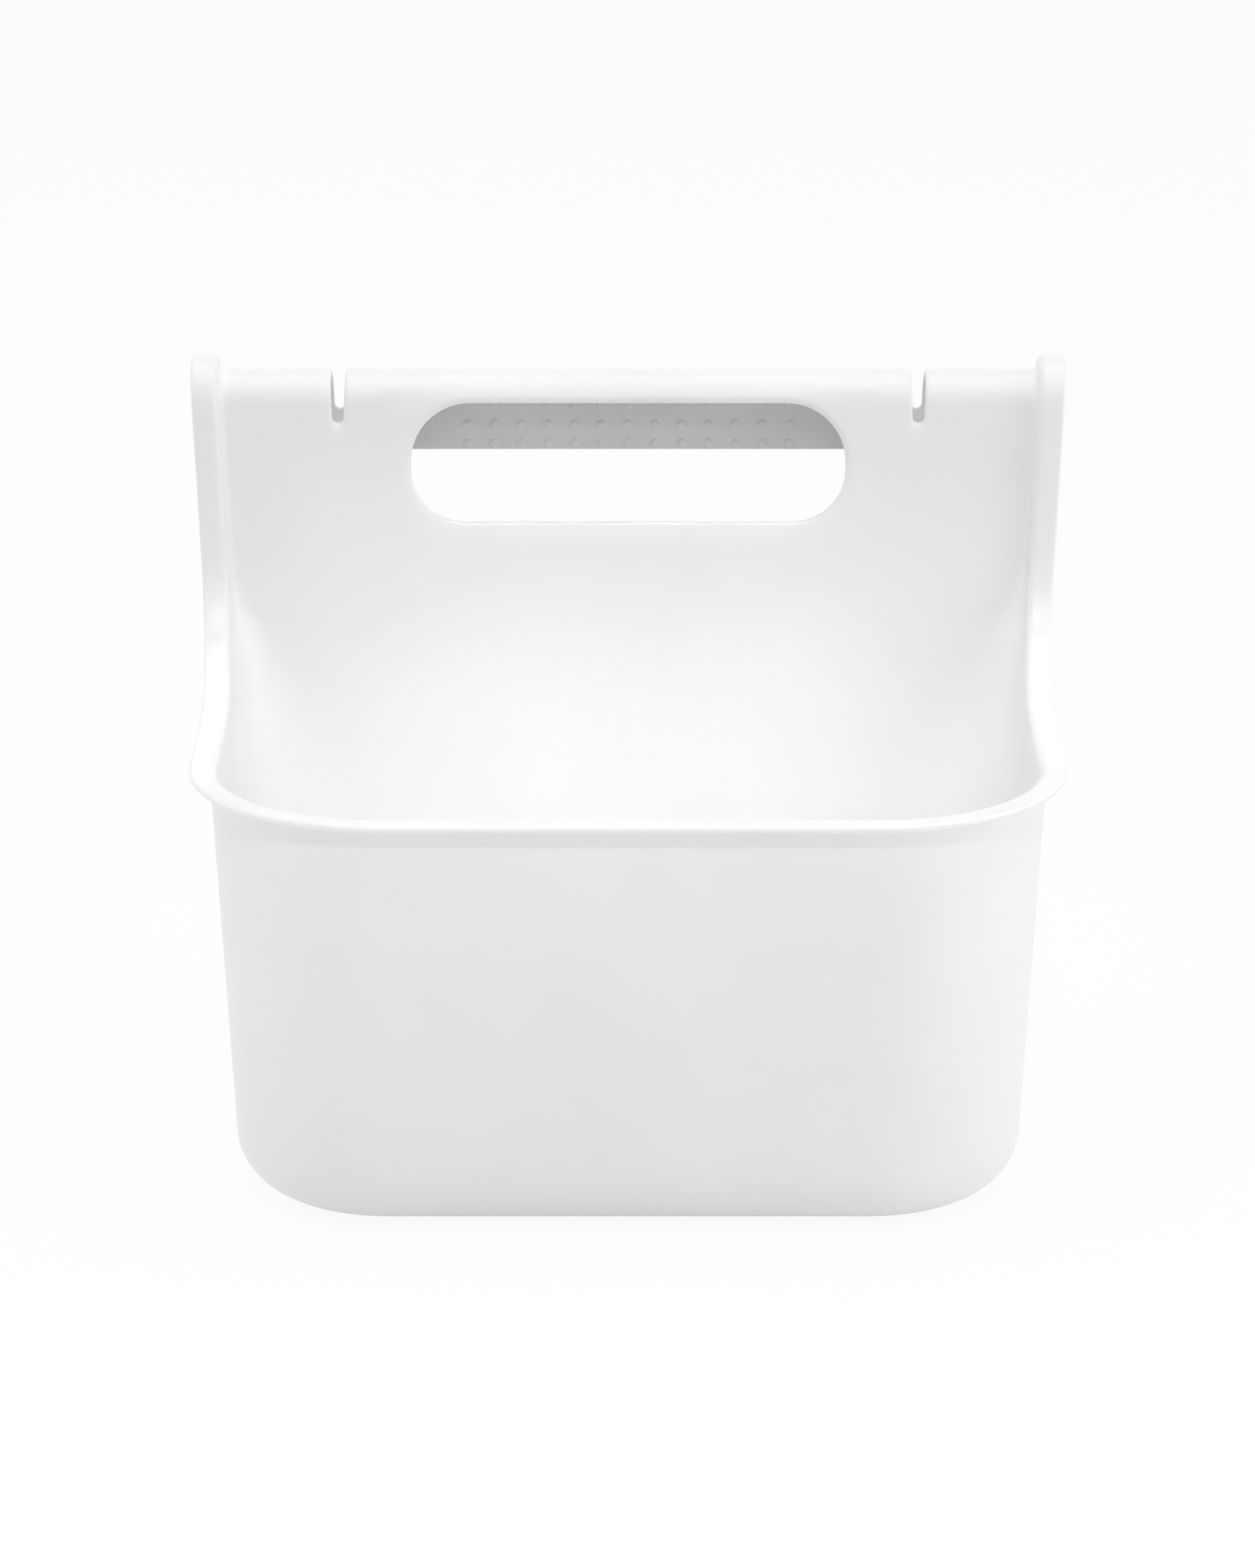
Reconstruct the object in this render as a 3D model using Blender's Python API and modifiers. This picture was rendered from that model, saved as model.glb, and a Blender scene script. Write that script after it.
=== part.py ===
# Bathroom caddy: a moulded bin whose low rim sweeps up beside a high back panel.
# The panel rolls over backwards into a hooked carrying handle with a soft grip inside.
# Lengths are in metres, +Z is up, the front faces -Y and the origin is under the middle.

from math import asin, cos, hypot, pi, radians, sin, tan

import bmesh
import bpy
from mathutils import Vector

# Walls and rim
WALL = 0.0021
RIM_WIDTH = 0.2504
RIM_HEIGHT = 0.1262
FLANGE_WIDTH = 0.0079
FLANGE_CORNER = 0.0562
EDGE_ROUNDING = 0.0007
LOWER_DRAFT = radians(3.0)
UPPER_DRAFT = radians(2.65)

# Bin
BASE_CORNER = 0.0445
BASE_FILLET = 0.0160
REAR_CORNER = 0.0420
REAR_DRAFT = radians(4.3)

# Sweep from the rim up to the handle
SWEEP_START = 0.1040
SWEEP_RADIUS = 0.0394
SWEEP_MEETING = radians(45.0)

# Back panel and rolled handle
PANEL_LEAN = radians(4.3)
FLANGE_PROUD = 0.0045
ROLL_RADIUS = 0.0095
ROLL_CENTRE_HEIGHT = 0.2062
LEG_LENGTH = 0.0168
LEG_FLARE = radians(2.0)

# Hand hole through the panel
HOLE_WIDTH = 0.1282
HOLE_HEIGHT = 0.0351
HOLE_TOP_CORNER = 0.0174
HOLE_BOTTOM_CORNER = 0.0152
HOLE_ABOVE_ROLL_CENTRE = 0.0012
HOLE_LIP = 0.0020

# Hanging notches through the roll
NOTCH_SPACING = 0.1720
NOTCH_TOP_WIDTH = 0.0038
NOTCH_BOTTOM_WIDTH = 0.0028
NOTCH_DEPTH = 0.0135

# Soft grip inside the roll
GRIP_LENGTH = 0.1400
GRIP_THICKNESS = 0.0016
GRIP_CLEARANCE = 0.0003
GRIP_TOP_ANGLE = radians(105.0)
DOT_RADIUS = 0.0010
DOT_HEIGHT = 0.0005
DOT_PITCH = 0.0081
DOT_ROW_PITCH = 0.0059
DOT_EDGE_MARGIN = 0.0024
DOT_COLUMNS = 13
DOT_ROWS = 3

# Feet and drain holes
FOOT_RADIUS = 0.0070
FOOT_THICKNESS = 0.0018
FOOT_RECESS = 0.0008
FOOT_CLEARANCE = 0.0003
FOOT_INSET = 0.0300
FOOT_CHAMFER = 0.0003
DRAIN_RADIUS = 0.0030
DRAIN_PITCH = 0.0220
DRAIN_COLUMNS = 6
DRAIN_ROWS = 3

# How far a cutter runs past what it cuts
OVERRUN = 0.0030

# Shading and bevels treat a steeper turn than this as an edge
SHARP_ANGLE = radians(40.0)
RIM_EDGE_ANGLE = radians(55.0)

# Facet counts
FRONT_STEPS = 2
CORNER_STEPS = 8
SIDE_STEPS = 3
SWEEP_SIDE_STEPS = 4
REAR_CORNER_STEPS = 6
BACK_STEPS = 3
BASE_FILLET_STEPS = 5
WALL_ROWS = 7
SWEEP_ROWS = 4
PANEL_ROWS = 4
ROLL_STEPS = 13
OUTLINE_STEPS = 10
LIP_STEPS = 4
DOT_SIDES = 8
ROUND_SIDES = 28
DRAIN_SIDES = 16
EDGE_STEPS = 2

# Places worked out from the sizes above. "Depth" is measured back from the front of the rim.
INNER_HALF = RIM_WIDTH / 2 - FLANGE_WIDTH
SWEEP_TOP = RIM_HEIGHT + SWEEP_RADIUS * (1 - sin(PANEL_LEAN))
PANEL_FOOT = (SWEEP_START + SWEEP_RADIUS * cos(PANEL_LEAN) + FLANGE_PROUD * cos(PANEL_LEAN),
              SWEEP_TOP - FLANGE_PROUD * sin(PANEL_LEAN))
FRONT_NORMAL = (-cos(PANEL_LEAN), sin(PANEL_LEAN))
BACK_NORMAL = (cos(LEG_FLARE), sin(LEG_FLARE))


def panel_depth(height):
    """Depth of the panel's front face, which leans back as it rises."""
    return PANEL_FOOT[0] + (height - PANEL_FOOT[1]) * tan(PANEL_LEAN)


PANEL_TOP = ROLL_CENTRE_HEIGHT + ROLL_RADIUS * FRONT_NORMAL[1]
ROLL_CENTRE = (panel_depth(PANEL_TOP) - ROLL_RADIUS * FRONT_NORMAL[0], ROLL_CENTRE_HEIGHT)
ROLL_CROWN = ROLL_CENTRE_HEIGHT + ROLL_RADIUS
FLANGE_ROLL_RADIUS = ROLL_RADIUS + FLANGE_PROUD
LEG_DIRECTION = (sin(LEG_FLARE), -cos(LEG_FLARE))
OVERALL_DEPTH = ROLL_CENTRE[0] + FLANGE_ROLL_RADIUS * BACK_NORMAL[0] + LEG_LENGTH * LEG_DIRECTION[0]
FOOT_PROUD = FOOT_THICKNESS + FOOT_CLEARANCE - FOOT_RECESS


def clear_scene():
    for old in list(bpy.data.objects):
        bpy.data.objects.remove(old, do_unlink=True)


def new_collection(name):
    collection = bpy.data.collections.new(name)
    bpy.context.scene.collection.children.link(collection)
    return collection


def material(name, colour, roughness):
    made = bpy.data.materials.new(name)
    made.use_nodes = True
    shader = made.node_tree.nodes["Principled BSDF"]
    shader.inputs["Base Color"].default_value = (*colour, 1.0)
    shader.inputs["Roughness"].default_value = roughness
    shader.inputs["Metallic"].default_value = 0.0
    made.diffuse_color = (*colour, 1.0)
    return made


def mesh_object(name, bm, collection, look=None):
    """An object from a bmesh, in its collection and with its material."""
    mesh = bpy.data.meshes.new(name)
    bm.to_mesh(mesh)
    bm.free()
    mesh.shade_smooth()
    mesh.set_sharp_from_angle(angle=SHARP_ANGLE)
    if look:
        mesh.materials.append(look)
    made = bpy.data.objects.new(name, mesh)
    collection.objects.link(made)
    return made


def add_modifier(target, kind, **settings):
    made = target.modifiers.new(kind.title(), kind)
    for key, value in settings.items():
        setattr(made, key, value)
    return made


def cut(target, cutter):
    cutter.hide_render = True
    cutter.display_type = "WIRE"
    add_modifier(target, "BOOLEAN", operation="DIFFERENCE", object=cutter, solver="EXACT")


# The bin's inner face, level by level

def half_width(height):
    """Inner half width: the side walls flare as they rise, a little less above the rim."""
    draft = LOWER_DRAFT if height < RIM_HEIGHT else UPPER_DRAFT
    return INNER_HALF + (height - RIM_HEIGHT) * tan(draft)


def front_depth(height):
    return FLANGE_WIDTH + (RIM_HEIGHT - height) * tan(LOWER_DRAFT)


def rear_depth(height):
    """Depth of the inner face of the back wall, below and beside the panel."""
    if height >= RIM_HEIGHT:
        return panel_depth(height)
    return panel_depth(RIM_HEIGHT) - (RIM_HEIGHT - height) * tan(REAR_DRAFT)


def front_corner(height):
    top = FLANGE_CORNER - FLANGE_WIDTH
    bottom = BASE_CORNER - WALL
    return bottom + (top - bottom) * (height - WALL) / (RIM_HEIGHT - WALL)


def sweep_point(angle):
    """Point of the flange's top face along the sweep: 0 leaves the rim, 90 degrees is upright."""
    return (SWEEP_START + SWEEP_RADIUS * sin(angle), RIM_HEIGHT + SWEEP_RADIUS * (1 - cos(angle)))


MEETING_DEPTH, MEETING_HEIGHT = sweep_point(SWEEP_MEETING)
MEETING_CORNER = rear_depth(MEETING_HEIGHT) - MEETING_DEPTH


def rear_corner(height):
    """Rear corner radius: full low in the bin, easing in until it meets the sweep."""
    slope = 1 / tan(SWEEP_MEETING) - tan(PANEL_LEAN)
    gain = REAR_CORNER - MEETING_CORNER
    run = 2 * gain / slope
    down = min(MEETING_HEIGHT - height, run)
    return MEETING_CORNER + slope * down - gain * (down / run) ** 2


def corner_angles(corner, slant):
    """Angles round a rear corner. The first one clears the thickness of the flange behind it."""
    even = pi / 2 / REAR_CORNER_STEPS
    first = max(even, asin((WALL * slant + EDGE_ROUNDING) / (corner + WALL)))
    rest = pi / 2 - first
    return [0] + [first + rest * step / (REAR_CORNER_STEPS - 1) for step in range(REAR_CORNER_STEPS)]


def side_run(height):
    """Where the flat side wall starts, its length, and the whole length round to the back panel."""
    start = front_depth(height) + front_corner(height)
    flat = rear_depth(height) - rear_corner(height) - start
    return start, flat, flat + rear_corner(height) * pi / 2


def side_lines():
    """Lines up the side wall and rear corner: the height where each ends, and its share of the run there."""
    first = side_run(RIM_HEIGHT)[0]
    rim_shares = [step / SIDE_STEPS for step in range(1, SIDE_STEPS + 1)]
    sweep_shares = [step / SWEEP_SIDE_STEPS for step in range(1, SWEEP_SIDE_STEPS + 1)]
    ends = [(first + (SWEEP_START - first) * share, RIM_HEIGHT) for share in rim_shares]
    ends += [sweep_point(SWEEP_MEETING * share) for share in sweep_shares]
    lines = []
    for depth, height in ends:
        start, _, whole = side_run(height)
        lines.append((height, (depth - start) / whole))
    _, flat, whole = side_run(MEETING_HEIGHT)
    for angle in corner_angles(MEETING_CORNER, 1 / sin(SWEEP_MEETING))[1:]:
        lines.append((MEETING_HEIGHT, (flat + MEETING_CORNER * angle) / whole))
    return lines


def side_point(height, share, inset):
    """Point of the inner face at a share of the run from the front corner to the back panel."""
    start, flat, whole = side_run(height)
    corner, along = rear_corner(height), share * whole
    if along <= flat:
        return Vector((half_width(height) - inset, start + along, height))
    angle = (along - flat) / corner
    return Vector((half_width(height) - corner + (corner - inset) * cos(angle),
                   start + flat + (corner - inset) * sin(angle), height))


def section(level, rise=0.0, inset=0.0):
    """One row of half the bin, from the front's middle round to the back's middle.

    level is the row's height, or where a rise is given, its share of the way up to the cut edge."""
    start = BASE_FILLET

    def height(top):
        return start + (top - start) * rise if rise else level

    rim = height(RIM_HEIGHT)
    corner = front_corner(rim) - inset
    half, front = half_width(rim) - inset, front_depth(rim) + inset
    row = [Vector(((half - corner) * step / FRONT_STEPS, front, rim)) for step in range(FRONT_STEPS)]
    for step in range(CORNER_STEPS + 1):
        angle = pi / 2 * step / CORNER_STEPS
        row.append(Vector((half - corner + corner * sin(angle), front + corner * (1 - cos(angle)), rim)))
    lines = side_lines()
    for index, (top, share) in enumerate(lines, 1):
        even_share = index / len(lines)
        row.append(side_point(height(top), even_share + (share - even_share) * rise, inset))
    last = row[-1]
    for step in range(1, BACK_STEPS + 1):
        row.append(Vector((last.x * (1 - step / BACK_STEPS), last.y, last.z)))
    return row


def lower_rows():
    """Rows from the floor's edge up to the rim and the lower half of the sweep."""
    fillet = BASE_FILLET - WALL
    rows = []
    for step in range(BASE_FILLET_STEPS + 1):
        angle = pi / 2 * step / BASE_FILLET_STEPS
        rows.append(section(WALL + fillet * (1 - cos(angle)), inset=fillet * (1 - sin(angle))))
    return rows + [section(0, rise=step / WALL_ROWS) for step in range(1, WALL_ROWS + 1)]


def offset(point, direction, distance):
    return (point[0] + direction[0] * distance, point[1] + direction[1] * distance)


def handle_path():
    """Points (panel, flange face, slant) up the sweep and the panel, over the roll and down the rear leg."""
    path = []
    upright = pi / 2 - PANEL_LEAN
    for step in range(1, SWEEP_ROWS + 1):
        angle = SWEEP_MEETING + (upright - SWEEP_MEETING) * step / SWEEP_ROWS
        face = sweep_point(angle)
        path.append(((panel_depth(face[1]), face[1]), face, 1 / sin(angle)))
    for step in range(1, PANEL_ROWS + 1):
        height = PANEL_FOOT[1] + (PANEL_TOP - PANEL_FOOT[1]) * step / PANEL_ROWS
        panel = (panel_depth(height), height)
        path.append((panel, offset(panel, FRONT_NORMAL, FLANGE_PROUD), 1))
    turn = pi - PANEL_LEAN - LEG_FLARE
    for step in range(1, ROLL_STEPS + 1):
        angle = PANEL_LEAN + turn * step / ROLL_STEPS
        normal = (-cos(angle), sin(angle))
        panel = offset(ROLL_CENTRE, normal, ROLL_RADIUS)
        path.append((panel, offset(panel, normal, FLANGE_PROUD), 1))
    end = offset(path[-1][0], LEG_DIRECTION, LEG_LENGTH)
    path.append((end, offset(end, BACK_NORMAL, FLANGE_PROUD), 1))
    return path


def upper_rows():
    """Rows from the flange face round the rear corner to the panel's middle, up and over the handle."""
    rows = []
    for panel, face, slant in handle_path():
        half = half_width(face[1])
        corner = hypot(face[0] - panel[0], face[1] - panel[1])
        row = []
        for angle in corner_angles(corner, slant):
            ahead = 1 - sin(angle)
            row.append(Vector((half - corner * (1 - cos(angle)), panel[0] + (face[0] - panel[0]) * ahead,
                               panel[1] + (face[1] - panel[1]) * ahead)))
        edge = half - corner
        row += [Vector((edge * (1 - step / BACK_STEPS), *panel)) for step in range(1, BACK_STEPS + 1)]
        rows.append(row)
    return rows


def flange_directions():
    """Outward level direction of the flange at each line of the rim row."""
    out = [Vector((0, -1, 0))] * FRONT_STEPS
    for step in range(CORNER_STEPS + 1):
        angle = pi / 2 * step / CORNER_STEPS
        out.append(Vector((sin(angle), -cos(angle), 0)))
    return out + [Vector((1, 0, 0))] * (SIDE_STEPS + SWEEP_SIDE_STEPS)


def skin_mesh():
    """Half of the visible face of the moulding: floor, walls, handle and flange, open at the middle."""
    bm = bmesh.new()
    lower = [[bm.verts.new(point) for point in row] for row in lower_rows()]
    upper = [[bm.verts.new(point) for point in row] for row in upper_rows()]
    rim_count = len(flange_directions())
    upper = [lower[-1][rim_count - 1:]] + upper
    for rows in (lower, upper):
        for below, above in zip(rows, rows[1:]):
            for left in range(len(below) - 1):
                bm.faces.new((below[left], below[left + 1], above[left + 1], above[left]))
    bm.faces.new(lower[0])
    edge = lower[-1][:rim_count] + [row[0] for row in upper[1:]]
    directions = flange_directions() + [Vector((1, 0, 0))] * (len(upper) - 1)
    outer = [bm.verts.new(vert.co + way * FLANGE_WIDTH) for vert, way in zip(edge, directions)]
    for this, after, out, out_after in zip(edge, edge[1:], outer, outer[1:]):
        bm.faces.new((this, after, out_after, out))
    bmesh.ops.recalc_face_normals(bm, faces=bm.faces)
    floor = min(bm.faces, key=lambda face: face.calc_center_median().z)
    if floor.normal.z < 0:
        bmesh.ops.reverse_faces(bm, faces=bm.faces)
    return bm


# Cutters

def hole_outline(grow):
    """Hand-hole outline about its middle: long, with rounder corners at the top."""
    half, rise = HOLE_WIDTH / 2 + grow, HOLE_HEIGHT / 2 + grow
    corners = ((1, 1, HOLE_TOP_CORNER + grow), (-1, 1, HOLE_TOP_CORNER + grow),
               (-1, -1, HOLE_BOTTOM_CORNER + grow), (1, -1, HOLE_BOTTOM_CORNER + grow))
    points = []
    for quarter, (side, up, radius) in enumerate(corners):
        for step in range(OUTLINE_STEPS + 1):
            angle = pi / 2 * (quarter + step / OUTLINE_STEPS)
            points.append((side * (half - radius) + radius * cos(angle),
                           up * (rise - radius) + radius * sin(angle)))
    return points


def add_loft(bm, rings):
    """Adds a closed solid through rings of equal count."""
    made = [[bm.verts.new(point) for point in ring] for ring in rings]
    for this, after in zip(made, made[1:]):
        for index in range(len(this)):
            following = (index + 1) % len(this)
            bm.faces.new((this[index], this[following], after[following], after[index]))
    bm.faces.new(made[0])
    bm.faces.new(made[-1])
    bmesh.ops.recalc_face_normals(bm, faces=bm.faces)


def loft(rings):
    bm = bmesh.new()
    add_loft(bm, rings)
    return bm


def hole_cutter(cutters, frame):
    """Cuts the hand hole square to the panel, with a rounded lip at the front."""
    levels = [(-OVERRUN, HOLE_LIP + OVERRUN)]
    for step in range(1, LIP_STEPS + 1):
        angle = pi / 2 * step / LIP_STEPS
        levels.append((HOLE_LIP * (1 - cos(angle)), HOLE_LIP * (1 - sin(angle))))
    levels.append((WALL + OVERRUN, 0.0))
    rings = [[(x, deep, z) for x, z in hole_outline(flare)] for deep, flare in levels]
    cutter = mesh_object("hand_hole_cutter", loft(rings), cutters)
    middle = ROLL_CENTRE_HEIGHT + HOLE_ABOVE_ROLL_CENTRE - HOLE_HEIGHT / 2
    cutter.parent = frame
    cutter.location = (0, panel_depth(middle), middle)
    cutter.rotation_euler = (-PANEL_LEAN, 0, 0)
    return cutter


def notch_cutter(name, side, cutters, frame):
    """A tapering slot with a round bottom, cut down through both legs of the roll."""
    top = FLANGE_ROLL_RADIUS - ROLL_RADIUS
    radius = NOTCH_BOTTOM_WIDTH / 2
    widen = (NOTCH_TOP_WIDTH - NOTCH_BOTTOM_WIDTH) / 2 * (NOTCH_DEPTH + top) / NOTCH_DEPTH
    outline = [(radius + widen, top), (-radius - widen, top)]
    for step in range(OUTLINE_STEPS + 1):
        angle = pi + pi * step / OUTLINE_STEPS
        outline.append((radius * cos(angle), radius - NOTCH_DEPTH + radius * sin(angle)))
    reach = FLANGE_ROLL_RADIUS + OVERRUN
    rings = [[(x, y, z) for x, z in outline] for y in (-reach, reach)]
    cutter = mesh_object(name, loft(rings), cutters)
    cutter.parent = frame
    cutter.location = (side * NOTCH_SPACING / 2, ROLL_CENTRE[0], ROLL_CROWN)
    return cutter


def disc_rings(levels, sides, centre=(0, 0)):
    """Rings of a round solid from its (height, radius) levels."""
    turns = [2 * pi * step / sides for step in range(sides)]
    return [[(centre[0] + wide * cos(turn), centre[1] + wide * sin(turn), height) for turn in turns]
            for height, wide in levels]


def foot_places():
    """Centres of the feet, set in from the walls at the floor."""
    half = half_width(0) - FOOT_INSET
    front, back = front_depth(0) + FOOT_INSET, rear_depth(0) - FOOT_INSET
    return {"foot_front_left": (-half, front), "foot_front_right": (half, front),
            "foot_rear_left": (-half, back), "foot_rear_right": (half, back)}


def drain_places():
    middle = (front_depth(0) + rear_depth(0)) / 2
    for column in range(DRAIN_COLUMNS):
        for row in range(DRAIN_ROWS):
            yield ((column - (DRAIN_COLUMNS - 1) / 2) * DRAIN_PITCH,
                   middle + (row - (DRAIN_ROWS - 1) / 2) * DRAIN_PITCH)


def underside_cutter(cutters, frame):
    """The drain holes and the shallow recesses that the feet sit in."""
    bm = bmesh.new()
    wide = FOOT_RADIUS + FOOT_CLEARANCE
    for centre in foot_places().values():
        add_loft(bm, disc_rings([(-OVERRUN, wide), (FOOT_RECESS, wide)], ROUND_SIDES, centre))
    for centre in drain_places():
        levels = [(-OVERRUN, DRAIN_RADIUS), (WALL + OVERRUN, DRAIN_RADIUS)]
        add_loft(bm, disc_rings(levels, DRAIN_SIDES, centre))
    cutter = mesh_object("underside_cutter", bm, cutters)
    cutter.parent = frame
    return cutter


# Pieces

def make_body(parts, cutters, frame, look):
    body = mesh_object("caddy_body", skin_mesh(), parts, look)
    body.parent = frame
    add_modifier(body, "MIRROR", use_clip=True, use_mirror_merge=True, merge_threshold=WALL / 100)
    add_modifier(body, "SOLIDIFY", thickness=WALL, offset=-1.0, use_even_offset=True,
                 use_quality_normals=True)
    add_modifier(body, "BEVEL", width=EDGE_ROUNDING, segments=EDGE_STEPS, limit_method="ANGLE",
                 angle_limit=RIM_EDGE_ANGLE)
    cut(body, hole_cutter(cutters, frame))
    for name, side in (("notch_left_cutter", -1), ("notch_right_cutter", 1)):
        cut(body, notch_cutter(name, side, cutters, frame))
    cut(body, underside_cutter(cutters, frame))
    return body


def grip_outline():
    """Cross-section of the grip, as (depth, height): up the rear leg and round under the crown."""
    outer = ROLL_RADIUS - WALL - GRIP_CLEARANCE
    inner = outer - GRIP_THICKNESS
    steps = ROLL_STEPS // 2
    angles = [LEG_FLARE + (GRIP_TOP_ANGLE - LEG_FLARE) * step / steps for step in range(steps + 1)]
    back = [offset(ROLL_CENTRE, (cos(angle), sin(angle)), outer) for angle in angles]
    front = [offset(ROLL_CENTRE, (cos(angle), sin(angle)), inner) for angle in angles]
    back_foot = offset(back[0], LEG_DIRECTION, LEG_LENGTH)
    front_foot = offset(front[0], LEG_DIRECTION, LEG_LENGTH)
    return [back_foot] + back + front[::-1] + [front_foot]


def dot_mesh():
    """The raised dots on the grip's front face, as short pegs that start inside it."""
    bm = bmesh.new()
    face = ROLL_RADIUS - WALL - GRIP_CLEARANCE - GRIP_THICKNESS
    levels = ((GRIP_THICKNESS / 2, DOT_RADIUS), (-DOT_HEIGHT / 2, DOT_RADIUS), (-DOT_HEIGHT, DOT_RADIUS / 2))
    for row in range(DOT_ROWS):
        down = LEG_LENGTH - DOT_EDGE_MARGIN - row * DOT_ROW_PITCH
        root = offset(offset(ROLL_CENTRE, BACK_NORMAL, face), LEG_DIRECTION, down)
        for column in range(DOT_COLUMNS):
            x = (column - (DOT_COLUMNS - 1) / 2) * DOT_PITCH
            rings = []
            for level, radius in levels:
                middle = offset(root, BACK_NORMAL, level)
                turns = [2 * pi * side / DOT_SIDES for side in range(DOT_SIDES)]
                rings.append([(x + radius * cos(turn), *offset(middle, LEG_DIRECTION, radius * sin(turn)))
                              for turn in turns])
            add_loft(bm, rings)
    return bm


def make_grip(parts, cutters, frame, look):
    """The soft liner of the roll, with raised dots where the fingers press."""
    ends = (-GRIP_LENGTH / 2, GRIP_LENGTH / 2)
    rings = [[(x, depth, height) for depth, height in grip_outline()] for x in ends]
    grip = mesh_object("handle_grip", loft(rings), parts, look)
    grip.parent = frame
    dots = mesh_object("grip_dots", dot_mesh(), cutters)
    dots.parent = frame
    dots.hide_render = True
    dots.display_type = "WIRE"
    add_modifier(grip, "BOOLEAN", operation="UNION", object=dots, solver="EXACT")
    return grip


def make_feet(parts, frame, look):
    levels = [(-FOOT_THICKNESS, FOOT_RADIUS - FOOT_CHAMFER), (FOOT_CHAMFER - FOOT_THICKNESS, FOOT_RADIUS),
              (0, FOOT_RADIUS)]
    for name, (x, depth) in foot_places().items():
        foot = mesh_object(name, loft(disc_rings(levels, ROUND_SIDES)), parts, look)
        foot.parent = frame
        foot.location = (x, depth, FOOT_RECESS - FOOT_CLEARANCE)


def main():
    clear_scene()
    parts = new_collection("bathroom_caddy")
    cutters = new_collection("caddy_cutters")
    frame = bpy.data.objects.new("caddy_frame", None)
    parts.objects.link(frame)
    frame.location = (0, -OVERALL_DEPTH / 2, FOOT_PROUD)
    white = material("white_polypropylene", (0.86, 0.86, 0.86), 0.32)
    grey = material("grey_soft_grip", (0.54, 0.54, 0.54), 0.70)
    rubber = material("grey_foot_rubber", (0.55, 0.55, 0.55), 0.75)
    make_body(parts, cutters, frame, white)
    make_grip(parts, cutters, frame, grey)
    make_feet(parts, frame, rubber)
    bpy.context.view_layer.update()


main()
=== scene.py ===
# Bathroom caddy: a white moulded bin with a hooked handle and a soft grey grip, on a pale floor.
# Lengths are in metres. "Depth" is measured back from the front of the rim, "height" up from
# the underside of the moulding, and "along" up the panel, over the roll and down its rear leg.

from math import cos, hypot, pi, radians, sin, tan

import bmesh
import bpy
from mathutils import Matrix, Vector

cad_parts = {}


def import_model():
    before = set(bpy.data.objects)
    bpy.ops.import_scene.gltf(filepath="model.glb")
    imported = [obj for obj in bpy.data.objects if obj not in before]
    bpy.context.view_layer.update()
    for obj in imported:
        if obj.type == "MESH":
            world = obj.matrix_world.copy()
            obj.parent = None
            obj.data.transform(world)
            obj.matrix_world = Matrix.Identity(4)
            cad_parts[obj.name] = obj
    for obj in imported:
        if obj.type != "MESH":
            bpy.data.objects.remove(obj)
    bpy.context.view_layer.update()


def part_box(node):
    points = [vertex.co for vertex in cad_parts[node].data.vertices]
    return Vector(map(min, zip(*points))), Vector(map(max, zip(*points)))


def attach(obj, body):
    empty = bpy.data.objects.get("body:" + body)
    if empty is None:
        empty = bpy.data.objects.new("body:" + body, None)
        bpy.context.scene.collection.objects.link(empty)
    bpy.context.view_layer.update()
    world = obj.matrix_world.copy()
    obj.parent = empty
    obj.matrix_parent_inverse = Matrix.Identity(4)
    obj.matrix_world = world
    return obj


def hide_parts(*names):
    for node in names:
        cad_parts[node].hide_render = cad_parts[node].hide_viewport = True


# Walls and rim
WALL = 0.0021
RIM_WIDTH = 0.2504
RIM_HEIGHT = 0.1262
FLANGE_WIDTH = 0.0079
FLANGE_CORNER = 0.0562
EDGE_BEND = 0.0025
SIDE_BEND = 0.0022
EDGE_ROUNDING = 0.00095
LOWER_DRAFT = radians(3.0)
UPPER_DRAFT = radians(2.65)

# Bin
BASE_CORNER = 0.0445
BASE_FILLET = 0.0160
REAR_CORNER = 0.0420
REAR_CORNER_SLOPE = 0.45
REAR_DRAFT = radians(4.3)

# Sweep from the rim up to the handle
SWEEP_START = 0.1040
SWEEP_RADIUS = 0.0394
SWEEP_MEETING = radians(45.0)

# Back panel and rolled handle
PANEL_LEAN = radians(4.3)
FLANGE_PROUD = 0.0045
ROLL_RADIUS = 0.0095
ROLL_CENTRE_HEIGHT = 0.2062
LEG_LENGTH = 0.0168
LEG_FLARE = radians(2.0)

# Hand hole through the panel, in a shallow dish
HOLE_WIDTH = 0.1282
HOLE_HEIGHT = 0.0351
HOLE_TOP_CORNER = 0.0174
HOLE_BOTTOM_CORNER = 0.0152
HOLE_ABOVE_ROLL_CENTRE = 0.0012
HOLE_FLARE = 0.0010
DISH_DEPTH = 0.00045
DISH_BELOW = 0.0076
DISH_BESIDE = 0.0030

# Hanging notches through the roll
NOTCH_SPACING = 0.1720
NOTCH_TOP_WIDTH = 0.0038
NOTCH_BOTTOM_WIDTH = 0.0028
NOTCH_DEPTH = 0.0135
NOTCH_FLARE = 0.0014
NOTCH_FLARE_BELOW = 0.0037
NOTCH_LIP = 0.0004
NOTCH_LIP_REACH = 0.0016

# Soft grip inside the roll
GRIP_LENGTH = 0.1400
GRIP_THICKNESS = 0.0016
GRIP_CLEARANCE = 0.0003
GRIP_ROUNDING = 0.00045
GRIP_TOP_ANGLE = radians(105.0)
DOT_RADIUS = 0.0014
DOT_HEIGHT = 0.0006
DOT_PITCH = 0.0080
DOT_ROW_PITCH = 0.0060
DOT_EDGE_MARGIN = 0.0019
DOT_COLUMNS = 13
DOT_ROWS = 3

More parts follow.
